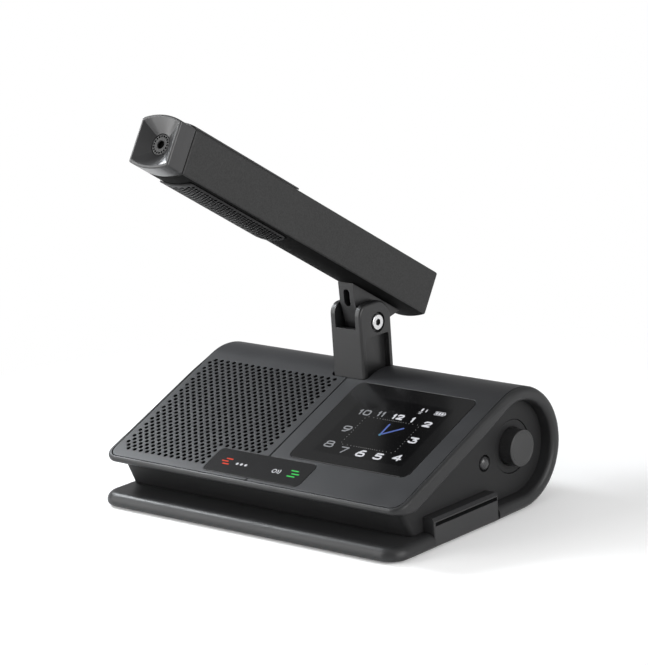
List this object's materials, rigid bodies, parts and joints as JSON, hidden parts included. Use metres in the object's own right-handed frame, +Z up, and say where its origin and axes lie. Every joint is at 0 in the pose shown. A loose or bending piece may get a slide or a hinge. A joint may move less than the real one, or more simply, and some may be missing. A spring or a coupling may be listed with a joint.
{
  "type": "conference delegate unit",
  "caption": "Table-top delegate unit: C-shaped housing with loudspeaker, display, touch bar, card reader and volume knob, and a tilting square microphone arm on a forked post.",
  "frame": {"origin": "centre of the anti-slip mat's underside, on the table surface", "axes": "+Z up, -Y towards the delegate, +X to the side with the volume knob and the card slot"},
  "size_m": [0.233, 0.2272, 0.2543],
  "materials": {
    "lower_shell": "fine-textured dark grey",
    "rear_cover": "fine-textured dark grey",
    "top_frame": "fine-textured dark grey",
    "core_frame": "fine-textured dark grey",
    "speaker_panel": "fine-textured dark grey",
    "display_panel": "fine-textured dark grey",
    "display_glass": "dark tinted, glossy",
    "lcd_module": "screen",
    "touch_glass": "dark tinted, glossy",
    "touch_board": "solder mask green",
    "main_board": "solder mask green",
    "processor": "matte",
    "side_board": "solder mask green",
    "speaker_basket": "matte dark grey",
    "speaker_cone": "matte",
    "speaker_magnet": "satin",
    "card_reader": "fine-textured dark grey",
    "knob_bezel": "fine-textured dark grey",
    "encoder_body": "satin",
    "button_switch": "matte",
    "battery_pack": "matte",
    "battery_door": "fine-textured dark grey",
    "anti_slip_mat": "matte",
    "clevis_post": "matte dark grey",
    "post_pedestal": "satin",
    "post_screw_left": "satin",
    "post_screw_right": "satin",
    "pivot_screw": "satin",
    "pivot_nut": "satin",
    "friction_washer_left": "matte",
    "friction_washer_right": "matte",
    "base_screw_front_left": "satin",
    "base_screw_front_right": "satin",
    "base_screw_rear_left": "satin",
    "base_screw_rear_right": "satin",
    "knuckle": "matte dark grey",
    "arm_housing": "fine-textured dark grey",
    "front_cap": "fine-textured dark grey",
    "capsule_disc": "matte dark grey",
    "nose_capsule": "satin",
    "mesh_top": "matte dark grey",
    "mesh_bottom": "matte dark grey",
    "rear_plug": "fine-textured dark grey",
    "mic_board": "solder mask green",
    "mic_capsule_1": "satin",
    "mic_capsule_2": "satin",
    "mic_capsule_3": "satin",
    "knuckle_screw_1": "satin",
    "knuckle_screw_2": "satin",
    "volume_knob": "fine-textured dark grey",
    "encoder_shaft": "satin",
    "side_button": "fine-textured dark grey"
  },
  "bodies": {
    "housing": {"lower_shell": "lower_shell", "rear_cover": "rear_cover", "top_frame": "top_frame", "core_frame": "core_frame", "speaker_panel": "speaker_panel", "display_panel": "display_panel", "display_glass": "display_glass", "lcd_module": "lcd_module", "touch_glass": "touch_glass", "touch_board": "touch_board", "main_board": "main_board", "processor": "processor", "side_board": "side_board", "speaker_basket": "speaker_basket", "speaker_cone": "speaker_cone", "speaker_magnet": "speaker_magnet", "card_reader": "card_reader", "knob_bezel": "knob_bezel", "encoder_body": "encoder_body", "button_switch": "button_switch", "battery_pack": "battery_pack", "battery_door": "battery_door", "anti_slip_mat": "anti_slip_mat", "clevis_post": "clevis_post", "post_pedestal": "post_pedestal", "post_screw_left": "post_screw_left", "post_screw_right": "post_screw_right", "pivot_screw": "pivot_screw", "pivot_nut": "pivot_nut", "friction_washer_left": "friction_washer_left", "friction_washer_right": "friction_washer_right", "base_screw_front_left": "base_screw_front_left", "base_screw_front_right": "base_screw_front_right", "base_screw_rear_left": "base_screw_rear_left", "base_screw_rear_right": "base_screw_rear_right"},
    "arm": {"knuckle": "knuckle", "arm_housing": "arm_housing", "front_cap": "front_cap", "capsule_disc": "capsule_disc", "nose_capsule": "nose_capsule", "mesh_top": "mesh_top", "mesh_bottom": "mesh_bottom", "rear_plug": "rear_plug", "mic_board": "mic_board", "mic_capsule_1": "mic_capsule_1", "mic_capsule_2": "mic_capsule_2", "mic_capsule_3": "mic_capsule_3", "knuckle_screw_1": "knuckle_screw_1", "knuckle_screw_2": "knuckle_screw_2"},
    "knob": {"volume_knob": "volume_knob", "encoder_shaft": "encoder_shaft"},
    "button": {"side_button": "side_button"}
  },
  "joints": [
    {"name": "arm_tilt", "type": "hinge", "parent": "housing", "child": "arm", "pos_m": [0, 0.04018, 0.1016], "axis": [1, 0, 0], "range_deg": [-28, 32]},
    {"name": "knob_turn", "type": "hinge", "parent": "housing", "child": "knob", "pos_m": [0.1079, 0.04108, 0.0379], "axis": [1, 0, 0], "continuous": true},
    {"name": "button_press", "type": "slide", "parent": "housing", "child": "button", "axis": [-1, 0, 0], "range_m": [0, 0.001], "stiffness_N_per_m": 250, "springref_m": -0.0008}
  ]
}
